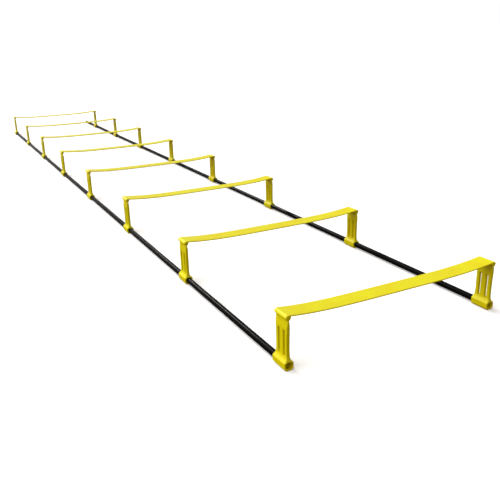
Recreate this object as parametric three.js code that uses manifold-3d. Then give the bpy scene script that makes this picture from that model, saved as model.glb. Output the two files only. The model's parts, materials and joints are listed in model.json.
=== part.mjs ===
// Elevated agility hurdle ladder: eight low hurdles standing in line on two round side rails.
// Units are millimetres. +X runs across the ladder, +Y along it and +Z up. The floor is z = 0, and the
// origin lies on the floor under the centre of the bounding box.
//
// Every hurdle is a crossbar hinged on two legs. Each leg ends in a foot sleeve that turns on its rail,
// so a hurdle is a parallelogram that swings down sideways until it lies almost flat on the rails.

import * as THREE from "three";
import { mergeVertices } from "three/addons/utils/BufferGeometryUtils.js";
import Module from "manifold-3d";

const wasm = await Module();
wasm.setup();

// ---- Driving dimensions ----

const HURDLES = 8;
const PITCH = 450; // from one hurdle to the next, along Y
const RAIL_SPACING = 481; // between the two rail axes, and between a crossbar's two hinges
const HEIGHT = 105; // floor to the top of a hinge cap

const SLEEVE_SIDE = 19; // the foot sleeve's section, across and up
const SLEEVE_LENGTH = 42;
const SLEEVE_CHAMFER = 4;
const SLEEVE_WEB = 6; // the solid wall halfway along the sleeve, which stops both tubes

const TUBE_DIAMETER = 13.2;
const TUBE_WALL = 1.4;
const TUBE_CLEARANCE = 0.3; // around the tube in its socket
const TUBE_END_GAP = 0.5; // from the tube's end to the sleeve's web
const END_TUBE_REACH = 250; // how far the odd tube reaches past the last hurdle's centre line

const BAR_WIDTH = 40;
const BAR_THICKNESS = 2.6;
const BAR_SAG = 8.5; // the middle of the crossbar's top face lies this far below its ends

const CAP_RADIUS = 6.25; // the crossbar's rounded end, around the hinge
const CHEEK = 3; // the cap's end walls, whose round tabs carry the leg's trunnions
const HINGE_CLEARANCE = 0.3;
const KNUCKLE_RADIUS = 4.45;
const TRUNNION_RADIUS = 2;
const SKIRT_RISE = 1; // the cap's lower rim lies this far above the hinge axis

const LEG_THICKNESS = 6.5;
const NECK_THICKNESS = 3.8; // where the leg meets its knuckle
const LEG_WAIST = 36.4; // the leg's least width along the rail
const WAIST_Z = 36;
const SLOT_WIDTH = 6;
const SLOT_OFFSET = 8.5; // from the leg's middle to each slot's
const SLOT_BOTTOM = 24;
const SLOT_TOP = 75;

// ---- Places that follow from them ----

const AXIS_Z = SLEEVE_SIDE / 2; // the rail axis
const HINGE_Z = HEIGHT - CAP_RADIUS;
const SOCKET_RADIUS = TUBE_DIAMETER / 2 + TUBE_CLEARANCE;
const TUBE_START = SLEEVE_WEB / 2 + TUBE_END_GAP; // from a sleeve's middle to a tube's end
const KNUCKLE_HALF = BAR_WIDTH / 2 - CHEEK - HINGE_CLEARANCE;
const SHOULDER_Z = HINGE_Z - KNUCKLE_RADIUS - HINGE_CLEARANCE - 0.1;
const FRONT_Y = -SLEEVE_LENGTH / 2; // the first sleeve's front face, from the first hurdle
const REAR_Y = (HURDLES - 1) * PITCH + END_TUBE_REACH;
const FIRST_HURDLE_Y = -(FRONT_Y + REAR_Y) / 2;
const SIDES = { left: -RAIL_SPACING / 2, right: RAIL_SPACING / 2 };

const ROUND_SIDES = 16;
const CURVE_STEPS = 3;

// ---- Materials ----

const yellowPlastic = new THREE.MeshStandardMaterial({ color: 0xe6da1e, roughness: 0.38, metalness: 0 });
const blackTube = new THREE.MeshStandardMaterial({ color: 0x101113, roughness: 0.3, metalness: 0 });

// ---- Solids ----

// The closed geometry as a solid that can be joined and cut.
function solid(geometry) {
  const bare = geometry.clone();
  bare.deleteAttribute("normal");
  bare.deleteAttribute("uv");
  const merged = mergeVertices(bare, 1e-4);
  return new wasm.Manifold(
    new wasm.Mesh({
      numProp: 3,
      vertProperties: merged.attributes.position.array,
      triVerts: new Uint32Array(merged.index.array),
    }),
  );
}

function geometryOf(made) {
  const mesh = made.getMesh();
  const geometry = new THREE.BufferGeometry();
  geometry.setAttribute("position", new THREE.BufferAttribute(mesh.vertProperties, 3));
  geometry.setIndex(new THREE.BufferAttribute(mesh.triVerts, 1));
  geometry.computeVertexNormals();
  return geometry;
}

// The basis sends the shape's own x, its own y and the direction of extrusion to the three axes given.
function prism(shape, length, basis) {
  const geometry = new THREE.ExtrudeGeometry(shape, {
    depth: length,
    bevelEnabled: false,
    curveSegments: CURVE_STEPS,
  });
  geometry.translate(0, 0, -length / 2);
  geometry.applyMatrix4(basis);
  return solid(geometry);
}

// A shape drawn in X and Z, extruded along Y, centred on y = 0.
function prismAlongY(shape, length) {
  const basis = new THREE.Matrix4().makeBasis(
    new THREE.Vector3(1, 0, 0),
    new THREE.Vector3(0, 0, 1),
    new THREE.Vector3(0, -1, 0),
  );
  return prism(shape, length, basis);
}

// A shape drawn in Y and Z, extruded along X, centred on x = 0.
function prismAlongX(shape, length) {
  const basis = new THREE.Matrix4().makeBasis(
    new THREE.Vector3(0, 1, 0),
    new THREE.Vector3(0, 0, 1),
    new THREE.Vector3(1, 0, 0),
  );
  return prism(shape, length, basis);
}

// A round bar along Y, from one y to another.
function roundAlongY(radius, fromY, toY, x, z) {
  const geometry = new THREE.CylinderGeometry(radius, radius, toY - fromY, ROUND_SIDES);
  geometry.translate(x, (fromY + toY) / 2, z);
  return solid(geometry);
}

function block(low, high) {
  const size = high.map((value, i) => value - low[i]);
  const geometry = new THREE.BoxGeometry(...size);
  geometry.translate(...low.map((value, i) => value + size[i] / 2));
  return solid(geometry);
}

// ---- The leg: foot sleeve, waisted plate and hinge knuckle in one moulding ----

// The leg seen along the rail: chamfered sleeve, fillets, plate, neck and round knuckle.
function legEndView() {
  const half = SLEEVE_SIDE / 2;
  const plate = LEG_THICKNESS / 2;
  const neck = NECK_THICKNESS / 2;
  const neckZ = HINGE_Z - 8.5;
  const taperZ = neckZ - 7;
  const filletZ = SLEEVE_SIDE + 9;
  const chamferX = half - SLEEVE_CHAMFER + 1;
  const chamferZ = SLEEVE_SIDE - SLEEVE_CHAMFER + 3;
  const shape = new THREE.Shape();
  shape.moveTo(-half + SLEEVE_CHAMFER, 0);
  shape.lineTo(half - SLEEVE_CHAMFER, 0);
  shape.lineTo(half, SLEEVE_CHAMFER);
  shape.lineTo(half, SLEEVE_SIDE - SLEEVE_CHAMFER);
  shape.lineTo(chamferX, chamferZ);
  shape.quadraticCurveTo(plate, SLEEVE_SIDE + 1.5, plate, filletZ);
  shape.lineTo(plate, taperZ);
  shape.lineTo(neck, neckZ);
  shape.lineTo(neck, HINGE_Z);
  shape.lineTo(-neck, HINGE_Z);
  shape.lineTo(-neck, neckZ);
  shape.lineTo(-plate, taperZ);
  shape.lineTo(-plate, filletZ);
  shape.quadraticCurveTo(-plate, SLEEVE_SIDE + 1.5, -chamferX, chamferZ);
  shape.lineTo(-half, SLEEVE_SIDE - SLEEVE_CHAMFER);
  shape.lineTo(-half, SLEEVE_CHAMFER);
  shape.closePath();
  return shape;
}

// The leg seen from the side: the sleeve's length, the waist, and the shoulders under the hinge cap.
function legSideView() {
  const foot = SLEEVE_LENGTH / 2;
  const waist = LEG_WAIST / 2;
  const top = BAR_WIDTH / 2;
  const flareZ = SLEEVE_SIDE - SLEEVE_CHAMFER + 2;
  const shape = new THREE.Shape();
  shape.moveTo(-foot, 0);
  shape.lineTo(foot, 0);
  shape.lineTo(foot, flareZ);
  shape.quadraticCurveTo(waist + 0.5, flareZ + 4, waist, WAIST_Z);
  shape.quadraticCurveTo(waist, (WAIST_Z + SHOULDER_Z) / 2, top, SHOULDER_Z - 3);
  shape.lineTo(top, SHOULDER_Z);
  shape.lineTo(KNUCKLE_HALF, SHOULDER_Z);
  shape.lineTo(KNUCKLE_HALF, HEIGHT);
  shape.lineTo(-KNUCKLE_HALF, HEIGHT);
  shape.lineTo(-KNUCKLE_HALF, SHOULDER_Z);
  shape.lineTo(-top, SHOULDER_Z);
  shape.lineTo(-top, SHOULDER_Z - 3);
  shape.quadraticCurveTo(-waist, (WAIST_Z + SHOULDER_Z) / 2, -waist, WAIST_Z);
  shape.quadraticCurveTo(-waist - 0.5, flareZ + 4, -foot, flareZ);
  shape.closePath();
  return shape;
}

// One long slot through the leg's plate, with round ends.
function slot(y) {
  const radius = SLOT_WIDTH / 2;
  const shape = new THREE.Shape();
  shape.moveTo(y - radius, SLOT_BOTTOM + radius);
  shape.absarc(y, SLOT_BOTTOM + radius, radius, Math.PI, 2 * Math.PI, false);
  shape.absarc(y, SLOT_TOP - radius, radius, 0, Math.PI, false);
  shape.closePath();
  return prismAlongX(shape, 2 * SLEEVE_SIDE);
}

function legGeometry() {
  const socketEnd = SLEEVE_LENGTH / 2 + 1;
  const socketBottom = SLEEVE_WEB / 2;
  return geometryOf(
    prismAlongY(legEndView(), SLEEVE_LENGTH)
      .add(roundAlongY(KNUCKLE_RADIUS, -KNUCKLE_HALF, KNUCKLE_HALF, 0, HINGE_Z))
      .intersect(prismAlongX(legSideView(), 2 * SLEEVE_SIDE))
      .subtract(slot(-SLOT_OFFSET))
      .subtract(slot(SLOT_OFFSET))
      .subtract(roundAlongY(SOCKET_RADIUS, socketBottom, socketEnd, 0, AXIS_Z))
      .subtract(roundAlongY(SOCKET_RADIUS, -socketEnd, -socketBottom, 0, AXIS_Z))
      .add(roundAlongY(TRUNNION_RADIUS, -BAR_WIDTH / 2 + 0.4, BAR_WIDTH / 2 - 0.4, 0, HINGE_Z)),
  );
}

// ---- The crossbar: a thin slat that sags between two hinge caps ----

// Height of the slat's top face at a distance from the middle: nearly flat, then curling up to the caps.
function barTop(x) {
  return HEIGHT - BAR_SAG + BAR_SAG * (x / SIDES.right) ** 4;
}

function slat() {
  const steps = 14;
  const places = Array.from({ length: steps + 1 }, (_, i) => {
    const across = (2 * i) / steps - 1;
    return SIDES.right * Math.sign(across) * Math.abs(across) ** 0.7;
  });
  const top = places.map((x) => new THREE.Vector2(x, barTop(x)));
  const bottom = places.map((x) => new THREE.Vector2(x, barTop(x) - BAR_THICKNESS));
  return prismAlongY(new THREE.Shape([...bottom, ...top.reverse()]), BAR_WIDTH);
}

function barGeometry() {
  const half = BAR_WIDTH / 2;
  const channel = half - CHEEK;
  let bar = slat();
  for (const x of Object.values(SIDES)) {
    const reach = CAP_RADIUS + 1;
    bar = bar
      .add(roundAlongY(CAP_RADIUS, -half, half, x, HINGE_Z))
      .subtract(block([x - reach, -half - 1, HINGE_Z - reach], [x + reach, half + 1, HINGE_Z + SKIRT_RISE]))
      .add(roundAlongY(KNUCKLE_RADIUS, -half, half, x, HINGE_Z))
      .subtract(roundAlongY(KNUCKLE_RADIUS + HINGE_CLEARANCE, -channel, channel, x, HINGE_Z))
      .subtract(roundAlongY(TRUNNION_RADIUS + HINGE_CLEARANCE, -half - 1, half + 1, x, HINGE_Z));
  }
  return geometryOf(bar);
}

// ---- The rail tubes ----

function tubeGeometry(length) {
  const radius = TUBE_DIAMETER / 2;
  const shape = new THREE.Shape().absarc(0, 0, radius, 0, 2 * Math.PI, false);
  shape.holes.push(new THREE.Path().absarc(0, 0, radius - TUBE_WALL, 0, 2 * Math.PI, true));
  const geometry = new THREE.ExtrudeGeometry(shape, {
    depth: length,
    bevelEnabled: false,
    curveSegments: ROUND_SIDES / 2,
  });
  geometry.rotateX(-Math.PI / 2);
  return geometryOf(solid(geometry));
}

// ---- Assembly ----

const ladder = new THREE.Group();
ladder.name = "agility_hurdle_ladder";

function place(parent, geometry, material, name, x, y, z) {
  const mesh = new THREE.Mesh(geometry, material);
  mesh.name = name;
  mesh.position.set(x, y, z);
  parent.add(mesh);
}

const leg = legGeometry();
const crossbar = barGeometry();
const railTube = tubeGeometry(PITCH - 2 * TUBE_START);
const endTube = tubeGeometry(END_TUBE_REACH - TUBE_START);

for (let number = 1; number <= HURDLES; number += 1) {
  const hurdle = new THREE.Group();
  hurdle.name = `hurdle_${number}`;
  hurdle.position.y = FIRST_HURDLE_Y + (number - 1) * PITCH;
  ladder.add(hurdle);
  place(hurdle, crossbar, yellowPlastic, `crossbar_${number}`, 0, 0, 0);
  for (const [side, x] of Object.entries(SIDES)) {
    place(hurdle, leg, yellowPlastic, `leg_${side}_${number}`, x, 0, 0);
    if (number < HURDLES) {
      place(hurdle, railTube, blackTube, `rail_tube_${side}_${number}`, x, TUBE_START, AXIS_Z);
    }
  }
}
const lastHurdleY = FIRST_HURDLE_Y + (HURDLES - 1) * PITCH;
place(ladder, endTube, blackTube, "rail_tube_end", SIDES.right, lastHurdleY + TUBE_START, AXIS_Z);

export default ladder;
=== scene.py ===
"""Looks of an elevated agility hurdle ladder: eight yellow hurdles on two black rails.

Every moulded piece is remade finely over the CAD frame, in metres and in the frame's own
coordinates: +X runs across the ladder, +Y along it and +Z up.
"""

import json
import math

import bmesh
import bpy
from mathutils import Matrix, Vector

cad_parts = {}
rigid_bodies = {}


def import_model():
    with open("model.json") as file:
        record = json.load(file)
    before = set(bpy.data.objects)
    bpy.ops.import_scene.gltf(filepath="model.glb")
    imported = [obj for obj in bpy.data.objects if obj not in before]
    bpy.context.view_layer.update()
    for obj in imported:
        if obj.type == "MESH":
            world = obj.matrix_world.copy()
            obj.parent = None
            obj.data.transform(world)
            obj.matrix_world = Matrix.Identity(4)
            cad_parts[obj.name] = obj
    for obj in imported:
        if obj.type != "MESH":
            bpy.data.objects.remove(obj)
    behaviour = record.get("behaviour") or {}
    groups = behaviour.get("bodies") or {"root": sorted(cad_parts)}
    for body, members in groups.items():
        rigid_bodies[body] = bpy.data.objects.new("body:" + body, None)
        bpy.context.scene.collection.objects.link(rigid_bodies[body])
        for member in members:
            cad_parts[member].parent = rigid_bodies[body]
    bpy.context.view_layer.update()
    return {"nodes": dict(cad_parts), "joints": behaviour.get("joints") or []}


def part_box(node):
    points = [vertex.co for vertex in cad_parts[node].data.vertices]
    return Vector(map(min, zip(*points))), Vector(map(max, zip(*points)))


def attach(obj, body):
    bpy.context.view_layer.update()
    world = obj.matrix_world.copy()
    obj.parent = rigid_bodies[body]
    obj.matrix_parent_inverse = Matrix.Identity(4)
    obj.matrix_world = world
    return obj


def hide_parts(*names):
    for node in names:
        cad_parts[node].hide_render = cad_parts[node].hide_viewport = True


bl_info = {
    "name": "Agility Hurdle Ladder",
    "version": (1, 0, 0),
    "blender": (4, 5, 0),
    "location": "View3D > Sidebar > Hurdles",
    "description": "Builds an elevated agility hurdle ladder over its CAD frame",
    "category": "Object",
}

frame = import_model()

SIDES = ("left", "right")
HURDLES = range(1, 1 + sum(name.startswith("crossbar") for name in frame["nodes"]))

# Stretches of the leg's outline, in metres
NECK_DROP = 0.0085  # from the hinge axis down to where the leg is thinnest
NECK_TAPER = 0.007  # over which the plate thins into its neck
CROWN_BEVEL = 0.003  # width and height of the bevels that start at the sleeve's crown
FILLET_RISE = 0.009  # from the sleeve's top to the upper end of the plate's fillet
FILLET_BEND = 0.0015  # from the sleeve's top to the height of that curve's control point
FLARE_RISE = 0.002  # from the sleeve's crown to where the leg begins to narrow
FLARE_BEND = (0.0005, 0.004)  # its control point: out from the waist, up from the flare's start
SHOULDER_BAND = 0.003  # at the plate's top, where it is as wide as the crossbar
SHOULDER_GAP = 0.0001  # spare room above the plate's shoulders, besides the hinge's clearance

BEVEL_ANGLE = math.radians(32)  # edges turned further than this are rounded
SHARP_ANGLE = math.radians(38)  # edges turned further than this are shaded sharp
FLOOR_REACH = 150

# Lamps: name, strength, angle across in degrees, and the way towards it
LAMPS = (("key", 2.6, 80, (-0.75, 0.35, 1)), ("glint", 1.1, 5, (-0.1, 0.84, 0.53)))
LENS_MM = 44.2
CAMERA_TURN = (-27.22, -19.61, -1.56)  # degrees to the side, up and about its own axis
CAMERA_PLACE = (-0.719, -0.816, 0.553)  # x and height in the frame, y from the first hurdle

QUARTER = math.pi / 2
OVERLAP = 0.00003  # solids that are joined or cut never share a plane: they pass by this much
ALONG_Y = Matrix.Rotation(-QUARTER, 4, "X")


def joint_place(name):
    """The point, in the frame, on which a joint's axis lies."""
    joint = next(j for j in frame["joints"] if j["name"] == name)
    return Vector(joint["pos_m"])


RAIL = joint_place("fold_1")  # on the left rail's axis, in the middle of the first foot
HINGE_Z = joint_place("crossbar_hinge_1").z
# The foot sleeve is square: its x is both its width and its height, and its y is its length
SLEEVE = Vector(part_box("leg_left_1")[1]) - Vector(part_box("leg_left_1")[0])
BAR_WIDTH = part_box("crossbar_1")[1].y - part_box("crossbar_1")[0].y
TOP_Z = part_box("crossbar_1")[1].z
TUBE_RADIUS = (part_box("rail_tube_end")[1].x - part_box("rail_tube_end")[0].x) / 2


def linear(hex_value):
    """An sRGB hex colour such as "F2E94B" as linear red, green and blue."""
    parts = [int(hex_value[i : i + 2], 16) / 255 for i in (0, 2, 4)]
    return tuple(p / 12.92 if p <= 0.04045 else ((p + 0.055) / 1.055) ** 2.4 for p in parts)


def length(name, description, default):
    """A size in metres that a user may change."""
    return bpy.props.FloatProperty(
        name=name, description=description, default=default, unit="LENGTH", precision=5
    )


def colour(name, description, default):
    """A colour that a user may change, given as an sRGB hex value."""
    return bpy.props.FloatVectorProperty(
        name=name, description=description, default=linear(default), subtype="COLOR", min=0, max=1
    )


class HURDLES_PG_leg(bpy.types.PropertyGroup):
    """Sizes of the moulded leg."""

    thickness: length("Plate thickness", "Thickness of the leg's flat plate", 0.0065)
    neck: length("Neck thickness", "Thickness just under the hinge knuckle", 0.0038)
    waist: length("Waist", "The plate's least width along the rail", 0.0364)
    waist_height: length("Waist height", "Height of the waist above the floor", 0.036)
    chamfer: length("Foot chamfer", "Chamfer along the foot sleeve", 0.004)
    slot_width: length("Slot width", "Width of the two upright slots", 0.006)
    slot_offset: length("Slot offset", "From the leg's middle to each slot's", 0.0085)
    slot_bottom: length("Slot bottom", "Height of the slots' lower ends", 0.024)
    slot_top: length("Slot top", "Height of the slots' upper ends", 0.075)
    web: length("Sleeve web", "Wall halfway along the sleeve, between its two sockets", 0.006)
    edge: length("Edge radius", "Radius on the moulding's outer edges", 0.0011)
    rim: length("Rim radius", "Radius on the rims of slots and sockets", 0.0004)


class HURDLES_PG_bar(bpy.types.PropertyGroup):
    """Sizes of the crossbar and its hinge caps."""

    thickness: length("Slat thickness", "Thickness of the crossbar's thin slat", 0.0026)
    sag: length("Sag", "How far the middle lies below the ends", 0.0085)
    edge: length("Edge radius", "Radius along the slat's long edges", 0.0009)
    cap_edge: length("Cap edge radius", "Radius round the ends of the hinge caps", 0.0022)
    cheek: length("Cheek", "Thickness of the cap's end walls", 0.003)
    knuckle: length("Knuckle radius", "Radius of the leg's hinge knuckle", 0.00445)
    trunnion: length("Trunnion radius", "Radius of the leg's hinge trunnions", 0.002)
    clearance: length("Hinge clearance", "Gap between the hinge's moving faces", 0.0003)
    skirt: length("Skirt rise", "Height of the cap's rim above the hinge axis", 0.001)


class HURDLES_PG_tube(bpy.types.PropertyGroup):
    """Sizes of the rail tubes and their sockets."""

    wall: length("Tube wall", "Thickness of the tube's wall", 0.0014)
    edge: length("Tube edge", "Radius on the tube's cut ends", 0.0003)
    clearance: length("Socket clearance", "Gap round the tube in its socket", 0.0003)


class HURDLES_PG_colours(bpy.types.PropertyGroup):
    """Colours of the materials and the stage."""

    plastic: colour("Plastic", "Yellow of the moulded hurdles", "E6DE05")
    plastic_deep: colour("Plastic, deeper", "Warmer yellow in the resin's flow marks", "E4D403")
    tube: colour("Tube", "Black of the rail tubes", "050506")
    tube_worn: colour("Tube, rubbed", "Greyer black in the fine rubbed streaks", "0D0E0F")
    floor: colour("Floor", "Pale studio floor", "FDFDFD")
    overhead: colour("Overhead light", "Light that comes from above, round the lamps", "96928C")
    bounce: colour("Bounced light", "Warm light that comes up from below", "6A4A22")


# ---- Solids ----


def new_object(name, bm):
    """The bmesh as a linked object, with its normals facing out."""
    bmesh.ops.recalc_face_normals(bm, faces=bm.faces)
    mesh = bpy.data.meshes.new(name)
    bm.to_mesh(mesh)
    bm.free()
    made = bpy.data.objects.new(name, mesh)
    bpy.context.scene.collection.objects.link(made)
    return made


def ring_solid(layers, place, straight=0.0, segments=32):
    """A solid of rings stacked along its own Z, each given as (height, radius).

    A straight length above 0 pulls the two halves of each ring apart along Y, as a slot's outline.
    """
    bm = bmesh.new()
    half_step = Matrix.Rotation(math.pi / segments, 4, "Z")
    bmesh.ops.create_circle(bm, cap_ends=True, segments=segments, radius=1.0, matrix=half_step)
    for vert in bm.verts:
        vert.co.y += math.copysign(straight / 2, vert.co.y)
    ring = bm.verts[:]
    face = next(iter(bm.faces))
    for number, (height, radius) in enumerate(layers):
        if number:
            grown = bmesh.ops.extrude_face_region(bm, geom=[face, *face.edges])["geom"]
            ring = [item for item in grown if isinstance(item, bmesh.types.BMVert)]
            face = next(item for item in grown if isinstance(item, bmesh.types.BMFace))
        for vert in ring:
            centre = Vector((0, math.copysign(straight / 2, vert.co.y)))
            outward = (vert.co.xy - centre).normalized() * radius
            vert.co = (*(centre + outward), height)
    bmesh.ops.transform(bm, matrix=place, verts=bm.verts)
    return bm


def rounded_rod(length_m, radius, edge, steps=4):
    """Layers of a rod centred on 0, with its end edges rounded."""
    arc = [i * QUARTER / steps for i in range(steps + 1)]
    end = -length_m / 2
    near = [(end + edge * (1 - math.sin(a)), radius - edge * (1 - math.cos(a))) for a in arc]
    return near[::-1] + [(-height, width) for height, width in near]


def flared_mouth(face_height, radius, rim, steps=4):
    """Layers of a cutter where it leaves a flat face: straight outside, narrowing round the rim."""
    arc = [i * QUARTER / steps for i in range(steps + 1)]
    crest = face_height + OVERLAP
    rings = [(crest - rim * (1 - math.cos(a)), radius + rim * (1 - math.sin(a))) for a in arc]
    return [(crest + 4 * rim, radius + rim)] + rings


def block(low, high):
    """A plain block between two corners."""
    low, high = Vector(low), Vector(high)
    bm = bmesh.new()
    bmesh.ops.create_cube(bm, size=1.0)
    bmesh.ops.scale(bm, vec=high - low, verts=bm.verts)
    bmesh.ops.translate(bm, vec=(low + high) / 2, verts=bm.verts)
    return bm


def moved(place, turn):
    """The matrix that turns a solid first and then takes it to its place."""
    return Matrix.Translation(place) @ turn


def round_edges(obj, radius, segments=3):
    """Rounds the object's sharp edges with a live bevel."""
    bevel = obj.modifiers.new("rounded edges", "BEVEL")
    bevel.width = radius
    bevel.segments = segments
    bevel.limit_method = "ANGLE"
    bevel.angle_limit = BEVEL_ANGLE


def gathered(name, tools):
    """A collection of solids, for a boolean that uses them all at once."""
    group = bpy.data.collections.new(name)
    for bm in tools:
        tool = new_object("tool", bm)
        bpy.context.scene.collection.objects.unlink(tool)
        group.objects.link(tool)
    return group


def worked(obj, added, cut):
    """The object's mesh with some solids joined on and then others cut away."""
    groups = {"UNION": gathered("added", added), "DIFFERENCE": gathered("cut", cut)}
    for operation, group in groups.items():
        if group.objects:
            boolean = obj.modifiers.new(group.name, "BOOLEAN")
            boolean.operation = operation
            boolean.solver = "EXACT"
            boolean.operand_type = "COLLECTION"
            boolean.collection = group
    depsgraph = bpy.context.evaluated_depsgraph_get()
    mesh = bpy.data.meshes.new_from_object(obj.evaluated_get(depsgraph))
    mesh.shade_smooth()
    mesh.set_sharp_from_angle(angle=SHARP_ANGLE)
    for used in (obj, *groups["UNION"].objects, *groups["DIFFERENCE"].objects):
        data = used.data
        bpy.data.objects.remove(used)
        bpy.data.meshes.remove(data)
    for group in groups.values():
        bpy.data.collections.remove(group)
    return mesh


def finished_piece(name, mesh, shift, node, body, material):
    """A copy of the mesh in its place, which stands for its CAD node and rides on its body."""
    own = mesh.copy()
    own.transform(Matrix.Translation(shift))
    own.materials.clear()
    own.materials.append(material)
    piece = bpy.data.objects.new(name, own)
    bpy.context.scene.collection.objects.link(piece)
    even = piece.modifiers.new("even shading", "WEIGHTED_NORMAL")
    even.keep_sharp = True
    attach(piece, body)
    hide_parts(node)


# ---- The moulded leg ----


def on_curve(height, start, control, end):
    """The width at a height on a quadratic curve whose points are (width, height)."""
    a = start[1] - 2 * control[1] + end[1]
    b = 2 * (control[1] - start[1])
    c = start[1] - height
    t = -c / b if abs(a) < 1e-9 else (-b + math.sqrt(max(b * b - 4 * a * c, 0))) / (2 * a)
    return (1 - t) ** 2 * start[0] + 2 * t * (1 - t) * control[0] + t * t * end[0]


def leg_section(height, leg, shoulder):
    """Half the leg's thickness and half its width at a height."""
    foot = SLEEVE.x / 2
    chamfered = foot - leg.chamfer
    plate = leg.thickness / 2
    crown = SLEEVE.x - leg.chamfer
    fillet_foot = crown + CROWN_BEVEL
    neck_z = HINGE_Z - NECK_DROP
    taper_z = neck_z - NECK_TAPER
    if height <= leg.chamfer:
        half_x = chamfered + height
    elif height <= crown:
        half_x = foot
    elif height <= fillet_foot:
        half_x = foot - (height - crown)
    elif height <= SLEEVE.x + FILLET_RISE:
        start = (foot - CROWN_BEVEL, fillet_foot)
        bend = (plate, SLEEVE.x + FILLET_BEND)
        half_x = on_curve(height, start, bend, (plate, SLEEVE.x + FILLET_RISE))
    elif height <= taper_z:
        half_x = plate
    else:
        share = min((height - taper_z) / (neck_z - taper_z), 1)
        half_x = plate + share * (leg.neck / 2 - plate)
    narrowest = (leg.waist / 2, leg.waist_height)
    flare_z = crown + FLARE_RISE
    band_z = shoulder - SHOULDER_BAND
    if height <= flare_z:
        half_y = SLEEVE.y / 2
    elif height <= leg.waist_height:
        bend = (narrowest[0] + FLARE_BEND[0], flare_z + FLARE_BEND[1])
        half_y = on_curve(height, (SLEEVE.y / 2, flare_z), bend, narrowest)
    else:
        bend = (narrowest[0], (leg.waist_height + shoulder) / 2)
        half_y = on_curve(min(height, band_z), narrowest, bend, (BAR_WIDTH / 2, band_z))
    return half_x, half_y


def leg_levels(leg, shoulder):
    """Heights of the leg's rings: few where it runs straight, close where it flares."""
    crown = SLEEVE.x - leg.chamfer
    flare_z = crown + FLARE_RISE
    flare_steps, blade_steps = 14, 10
    flare_step = (leg.waist_height - flare_z) / flare_steps
    blade_step = (shoulder - SHOULDER_BAND - leg.waist_height) / blade_steps
    flare = [flare_z + i * flare_step for i in range(flare_steps + 1)]
    blade = [leg.waist_height + i * blade_step for i in range(1, blade_steps + 1)]
    return [0.0, leg.chamfer, crown, *flare, *blade, shoulder]


def leg_blank(leg, shoulder):
    """The foot sleeve and the waisted plate as one column of rings, without its holes."""
    levels = leg_levels(leg, shoulder)
    bm = bmesh.new()
    bmesh.ops.create_cube(bm, size=1.0)
    upright = [e for e in bm.edges if abs(e.verts[0].co.z - e.verts[1].co.z) > 0.5]
    bmesh.ops.subdivide_edges(bm, edges=upright, cuts=len(levels) - 2)
    for vert in bm.verts:
        height = levels[round((vert.co.z + 0.5) * (len(levels) - 1))]
        half_x, half_y = leg_section(height, leg, shoulder)
        vert.co = (math.copysign(half_x, vert.co.x), math.copysign(half_y, vert.co.y), height)
    return new_object("leg blank", bm)


def slot_cutter(leg, y):
    """The tool for one upright slot through the plate, with rounded rims on both faces."""
    radius = leg.slot_width / 2
    mouth = flared_mouth(leg.thickness / 2, radius, leg.rim)
    layers = mouth + [(-height, width) for height, width in reversed(mouth)]
    middle = Vector((0, y, (leg.slot_bottom + leg.slot_top) / 2))
    upright = Matrix.Rotation(QUARTER, 4, "Y") @ Matrix.Rotation(QUARTER, 4, "Z")
    straight = leg.slot_top - leg.slot_bottom - leg.slot_width
    return ring_solid(layers, moved(middle, upright), straight)


def socket_cutter(leg, tube, end):
    """The tool for one blind socket, from the sleeve's front (end -1) or rear (end 1)."""
    radius = TUBE_RADIUS + tube.clearance
    layers = flared_mouth(SLEEVE.y / 2, radius, leg.rim) + [(leg.web / 2, radius)]
    turn = Matrix.Rotation(-end * QUARTER, 4, "X")
    return ring_solid(layers, moved((0, 0, RAIL.z), turn), segments=48)


def leg_mesh(leg, bar, tube):
    """The whole leg about its own middle: blank, knuckle and trunnions, less slots and sockets."""
    shoulder = HINGE_Z - bar.knuckle - bar.clearance - SHOULDER_GAP
    knuckle_length = BAR_WIDTH - 2 * (bar.cheek + bar.clearance)
    knuckle_edge = 0.0005
    root = 0.002  # the neck's block starts this far down inside the plate
    sunk = 0.0004  # the trunnions end this far inside the cheeks, and are rounded as much
    blank = leg_blank(leg, shoulder)
    round_edges(blank, leg.edge)
    hinge = moved((0, 0, HINGE_Z), ALONG_Y)
    half_x, half_y = leg.neck / 2 - OVERLAP, knuckle_length / 2 - knuckle_edge
    added = [
        block((-half_x, -half_y, shoulder - root), (half_x, half_y, HINGE_Z)),
        ring_solid(rounded_rod(knuckle_length, bar.knuckle, knuckle_edge), hinge, segments=40),
        ring_solid(rounded_rod(BAR_WIDTH - 2 * sunk, bar.trunnion, sunk), hinge, segments=24),
    ]
    slots = [slot_cutter(leg, y) for y in (-leg.slot_offset, leg.slot_offset)]
    return worked(blank, added, slots + [socket_cutter(leg, tube, end) for end in (-1, 1)])


# ---- The crossbar ----


def slat(bar):
    """The thin slat from hinge to hinge: nearly flat in the middle, curling up to the caps."""
    bm = bmesh.new()
    bmesh.ops.create_cube(bm, size=1.0)
    dip = 0.00002  # the slat's ends stop this far below the caps' tops
    lengthwise = [e for e in bm.edges if abs(e.verts[0].co.x - e.verts[1].co.x) > 0.5]
    bmesh.ops.subdivide_edges(bm, edges=lengthwise, cuts=71)
    reach = abs(RAIL.x)
    for vert in bm.verts:
        across = 2 * vert.co.x
        top = TOP_Z - dip - bar.sag * (1 - across**4)
        depth = (0.5 - vert.co.z) * bar.thickness
        vert.co = (across * reach, vert.co.y * BAR_WIDTH, top - depth)
    made = new_object("slat", bm)
    round_edges(made, bar.edge)
    return made


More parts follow.
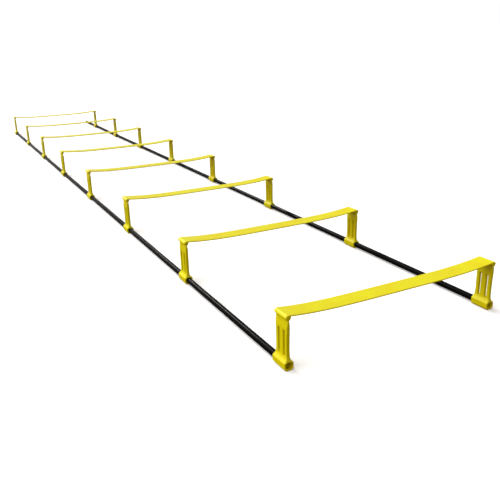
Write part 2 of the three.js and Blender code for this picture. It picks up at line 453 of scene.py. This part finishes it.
def cap_shell(bar, hinge):
    """A rounded cap as long as the bar is wide, cut off flat at its rim, just over the hinge."""
    bm = ring_solid(rounded_rod(BAR_WIDTH, TOP_Z - HINGE_Z, bar.cap_edge, 6), hinge, segments=64)
    everything = bm.verts[:] + bm.edges[:] + bm.faces[:]
    rim = (0, 0, HINGE_Z + bar.skirt)
    cut = bmesh.ops.bisect_plane(
        bm, geom=everything, plane_co=rim, plane_no=(0, 0, 1), clear_inner=True
    )["geom_cut"]
    outline = [item for item in cut if isinstance(item, bmesh.types.BMEdge)]
    bmesh.ops.contextual_create(bm, geom=outline)
    return bm


def crossbar_mesh(bar):
    """The whole crossbar about the ladder's middle line, with a hollow cap over each hinge."""
    inset = 0.0001  # the cheeks' round lower ends stand this far inside the cap's end faces
    past = 0.001  # the trunnions' cutter runs this far out of those faces
    channel = BAR_WIDTH / 2 - bar.cheek
    through = BAR_WIDTH / 2 + past
    wide = bar.knuckle + bar.clearance
    narrow = bar.trunnion + bar.clearance
    tab_rod = rounded_rod(BAR_WIDTH - 2 * inset, bar.knuckle, 0.0006)
    added, cut = [], []
    for x in (RAIL.x, -RAIL.x):
        hinge = moved((x, 0, HINGE_Z), ALONG_Y)
        added += [cap_shell(bar, hinge), ring_solid(tab_rod, hinge, segments=40)]
        cut.append(ring_solid([(-channel, wide), (channel, wide)], hinge, segments=40))
        cut.append(ring_solid([(-through, narrow), (through, narrow)], hinge, segments=24))
    return worked(slat(bar), added, cut)


# ---- The rail tubes ----


def tube_mesh(tube, tube_length):
    """An open tube along Y, centred on its own middle: a wall's section spun round the axis."""
    outer, inner = TUBE_RADIUS, TUBE_RADIUS - tube.wall
    end, cut = tube_length / 2, tube.edge
    half = [(inner, end - cut), (inner + cut, end), (outer - cut, end), (outer, end - cut)]
    section = half + [(radius, -y) for radius, y in reversed(half)]
    bm = bmesh.new()
    verts = [bm.verts.new((radius, y, 0)) for radius, y in section]
    edges = [bm.edges.new((verts[i - 1], verts[i])) for i in range(len(verts))]
    round_y = {"cent": (0, 0, 0), "axis": (0, 1, 0), "angle": 2 * math.pi}
    bmesh.ops.spin(bm, geom=verts + edges, steps=64, use_merge=True, **round_y)
    return worked(new_object("tube", bm), [], [])


# ---- Materials ----


def add_node(tree, kind, links=(), **settings):
    """Adds a node with its settings; a link is (from node, its socket, the new node's socket)."""
    made = tree.nodes.new(kind)
    for key, value in settings.items():
        if key in made.inputs:
            made.inputs[key].default_value = value
        else:
            setattr(made, key, value)
    for source, output, own in links:
        tree.links.new(source.outputs[output], made.inputs[own])
    return made


def new_material(name):
    """A material with no nodes but object coordinates, and its node tree."""
    material = bpy.data.materials.new(name)
    material.use_nodes = True
    tree = material.node_tree
    tree.nodes.clear()
    coordinates = add_node(tree, "ShaderNodeTexCoord")
    return material, tree, coordinates


def moulded_polypropylene(colours):
    """Satin injection-moulded polypropylene: even bright yellow, a soft wide sheen, a faint grain.

    Slow flow marks a few centimetres long shift its yellow a little. The tool's fine spark texture,
    about 0.7 mm from peak to peak, breaks up the sheen.
    """
    material, tree, coordinates = new_material("moulded_yellow_polypropylene")
    place = [(coordinates, "Object", "Vector")]
    flow = add_node(tree, "ShaderNodeTexNoise", place, Scale=28, Detail=3)
    tint = add_node(tree, "ShaderNodeValToRGB", [(flow, "Fac", "Fac")])
    tint.color_ramp.elements[0].position = 0.35
    tint.color_ramp.elements[0].color = (*colours.plastic_deep, 1)
    tint.color_ramp.elements[1].position = 0.65
    tint.color_ramp.elements[1].color = (*colours.plastic, 1)
    grain = add_node(tree, "ShaderNodeTexNoise", place, Scale=1400, Detail=2)
    satin = {"To Min": 0.36, "To Max": 0.46}
    sheen = add_node(tree, "ShaderNodeMapRange", [(flow, "Fac", "Value")], **satin)
    relief = {"Strength": 0.12, "Distance": 0.0001}
    bump = add_node(tree, "ShaderNodeBump", [(grain, "Fac", "Height")], **relief)
    links = [
        (tint, "Color", "Base Color"),
        (sheen, "Result", "Roughness"),
        (bump, "Normal", "Normal"),
    ]
    settings = {"IOR": 1.49, "Specular IOR Level": 0.25}
    shader = add_node(tree, "ShaderNodeBsdfPrincipled", links, **settings)
    add_node(tree, "ShaderNodeOutputMaterial", [(shader, "BSDF", "Surface")])
    return material


def extruded_black_abs(colours):
    """Glossy extruded ABS: near black, with a crisp highlight along the tube.

    The die leaves faint lines along the tube, about 1 mm apart round it, and handling rubs a few of
    them greyer.
    """
    material, tree, coordinates = new_material("extruded_black_abs")
    place = [(coordinates, "Object", "Vector")]
    stretch = add_node(tree, "ShaderNodeMapping", place, Scale=(1000, 12, 1000))
    lines = add_node(tree, "ShaderNodeTexNoise", [(stretch, "Vector", "Vector")], Scale=1, Detail=3)
    rubbed = add_node(tree, "ShaderNodeValToRGB", [(lines, "Fac", "Fac")])
    rubbed.color_ramp.elements[0].position = 0.5
    rubbed.color_ramp.elements[0].color = (*colours.tube, 1)
    rubbed.color_ramp.elements[1].position = 0.8
    rubbed.color_ramp.elements[1].color = (*colours.tube_worn, 1)
    glossy = {"To Min": 0.2, "To Max": 0.34}
    gloss = add_node(tree, "ShaderNodeMapRange", [(lines, "Fac", "Value")], **glossy)
    relief = {"Strength": 0.15, "Distance": 0.00005}
    bump = add_node(tree, "ShaderNodeBump", [(lines, "Fac", "Height")], **relief)
    links = [
        (rubbed, "Color", "Base Color"),
        (gloss, "Result", "Roughness"),
        (bump, "Normal", "Normal"),
    ]
    settings = {"IOR": 1.52, "Specular IOR Level": 0.03}
    shader = add_node(tree, "ShaderNodeBsdfPrincipled", links, **settings)
    add_node(tree, "ShaderNodeOutputMaterial", [(shader, "BSDF", "Surface")])
    return material


def studio_floor(colours):
    """Matt studio paper: pale, even and without gloss, lit through so that shadows stay faint."""
    material, tree, _ = new_material("matt_studio_paper")
    settings = {"Base Color": (*colours.floor, 1), "Roughness": 0.9, "Emission Strength": 0.2}
    shader = add_node(tree, "ShaderNodeBsdfPrincipled", **settings)
    add_node(tree, "ShaderNodeOutputMaterial", [(shader, "BSDF", "Surface")])
    return material


# ---- Operators ----


class HURDLES_OT_legs(bpy.types.Operator):
    """Builds the sixteen legs, each with its foot sleeve, slots and hinge knuckle"""

    bl_idname = "hurdles.legs"
    bl_label = "Legs"

    def execute(self, context):
        scene = context.scene
        mesh = leg_mesh(scene.hurdle_leg, scene.hurdle_bar, scene.hurdle_tube)
        material = moulded_polypropylene(scene.hurdle_colours)
        for number in HURDLES:
            for side in SIDES:
                node = f"leg_{side}_{number}"
                low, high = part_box(node)
                shift = ((low.x + high.x) / 2, (low.y + high.y) / 2, 0)
                name = f"moulded_leg_{side}_{number}"
                finished_piece(name, mesh, shift, node, f"{side}_leg_{number}", material)
        return {"FINISHED"}


class HURDLES_OT_crossbars(bpy.types.Operator):
    """Builds the eight sagging crossbars with their hinge caps"""

    bl_idname = "hurdles.crossbars"
    bl_label = "Crossbars"

    def execute(self, context):
        scene = context.scene
        mesh = crossbar_mesh(scene.hurdle_bar)
        material = moulded_polypropylene(scene.hurdle_colours)
        for number in HURDLES:
            node = f"crossbar_{number}"
            low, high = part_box(node)
            shift = (0, (low.y + high.y) / 2, 0)
            finished_piece(f"moulded_{node}", mesh, shift, node, node, material)
        return {"FINISHED"}


class HURDLES_OT_rail_tubes(bpy.types.Operator):
    """Builds the tubes of both side rails and the odd tube at the far end"""

    bl_idname = "hurdles.rail_tubes"
    bl_label = "Rail tubes"

    def execute(self, context):
        scene = context.scene
        material = extruded_black_abs(scene.hurdle_colours)
        for node in sorted(name for name in frame["nodes"] if name.startswith("rail_tube")):
            low, high = (Vector(corner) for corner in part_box(node))
            mesh = tube_mesh(scene.hurdle_tube, high.y - low.y)
            finished_piece(f"extruded_{node}", mesh, (low + high) / 2, node, "rails", material)
        return {"FINISHED"}


class HURDLES_OT_stage(bpy.types.Operator):
    """Lays the floor and sets the light and the camera"""

    bl_idname = "hurdles.stage"
    bl_label = "Stage"

    def execute(self, context):
        scene = context.scene
        bm = bmesh.new()
        bmesh.ops.create_grid(bm, x_segments=1, y_segments=1, size=FLOOR_REACH)
        floor = new_object("studio_floor", bm)
        floor.data.materials.append(studio_floor(scene.hurdle_colours))
        floor.visible_diffuse = False  # the ladder takes its light from below from the room
        floor.visible_glossy = False
        set_light(scene)
        set_camera(scene)
        return {"FINISHED"}


def set_light(scene):
    """A soft key light from the left and behind, a small lamp for the glint, a white horizon."""
    colours = scene.hurdle_colours
    world = bpy.data.worlds.new("studio")
    world.use_nodes = True
    tree = world.node_tree
    tree.nodes.clear()
    coordinates = add_node(tree, "ShaderNodeTexCoord")
    split = add_node(tree, "ShaderNodeSeparateXYZ", [(coordinates, "Generated", "Vector")])
    height = add_node(tree, "ShaderNodeMapRange", [(split, "Z", "Value")], **{"From Min": -1.0})
    room = add_node(tree, "ShaderNodeValToRGB", [(height, "Result", "Fac")])
    stops = room.color_ramp.elements  # 0 is straight down, 0.5 level and 1 straight up
    stops[0].position, stops[0].color = 0.46, (*colours.bounce, 1)
    stops[1].position, stops[1].color = 0.48, (1, 1, 1, 1)
    stops.new(0.55).color = (1, 1, 1, 1)
    stops.new(0.62).color = (*colours.overhead, 1)
    glow = add_node(tree, "ShaderNodeBackground", [(room, "Color", "Color")])
    add_node(tree, "ShaderNodeOutputWorld", [(glow, "Background", "Surface")])
    scene.world = world
    for name, strength, across, source in LAMPS:
        lamp = bpy.data.lights.new(name, "SUN")
        lamp.energy = strength
        lamp.angle = math.radians(across)
        placed = bpy.data.objects.new(name, lamp)
        placed.matrix_world = Vector(source).to_track_quat("Z", "Y").to_matrix().to_4x4()
        scene.collection.objects.link(placed)
    scene.view_settings.view_transform = "Standard"


def set_camera(scene):
    """A short tele view from in front of the ladder, left of it and above it."""
    lens = bpy.data.cameras.new("camera")
    lens.sensor_width = 36
    lens.lens = LENS_MM
    lens.clip_start, lens.clip_end = 0.05, 200
    camera = bpy.data.objects.new("camera", lens)
    side, up, own = CAMERA_TURN
    turn = Matrix.Rotation(math.radians(side), 4, "Z")
    tilt = Matrix.Rotation(math.radians(90 + up), 4, "X")
    roll = Matrix.Rotation(math.radians(own), 4, "Z")
    x, ahead, height = CAMERA_PLACE
    place = Matrix.Translation((x, RAIL.y + ahead, height))
    camera.matrix_world = place @ turn @ tilt @ roll
    scene.collection.objects.link(camera)
    scene.camera = camera


class HURDLES_PT_panel(bpy.types.Panel):
    """Lists the operators and the sizes"""

    bl_label = "Agility Hurdle Ladder"
    bl_idname = "HURDLES_PT_panel"
    bl_space_type = "VIEW_3D"
    bl_region_type = "UI"
    bl_category = "Hurdles"

    def draw(self, context):
        for group in GROUPS:
            settings = getattr(context.scene, group)
            box = self.layout.box()
            for name in settings.__annotations__:
                box.prop(settings, name)
        for operator in OPERATORS:
            self.layout.operator(operator.bl_idname)


GROUPS = {
    "hurdle_leg": HURDLES_PG_leg,
    "hurdle_bar": HURDLES_PG_bar,
    "hurdle_tube": HURDLES_PG_tube,
    "hurdle_colours": HURDLES_PG_colours,
}
OPERATORS = (HURDLES_OT_stage, HURDLES_OT_legs, HURDLES_OT_crossbars, HURDLES_OT_rail_tubes)


def register():
    """Adds the classes and the scene's settings."""
    for name, group in GROUPS.items():
        bpy.utils.register_class(group)
        setattr(bpy.types.Scene, name, bpy.props.PointerProperty(type=group))
    for made in (*OPERATORS, HURDLES_PT_panel):
        bpy.utils.register_class(made)


def unregister():
    """Takes them away again."""
    for made in (HURDLES_PT_panel, *OPERATORS):
        bpy.utils.unregister_class(made)
    for name, group in GROUPS.items():
        delattr(bpy.types.Scene, name)
        bpy.utils.unregister_class(group)


def main():
    """Builds everything."""
    register()
    bpy.ops.hurdles.stage()
    bpy.ops.hurdles.legs()
    bpy.ops.hurdles.crossbars()
    bpy.ops.hurdles.rail_tubes()


if __name__ == "__main__":
    main()
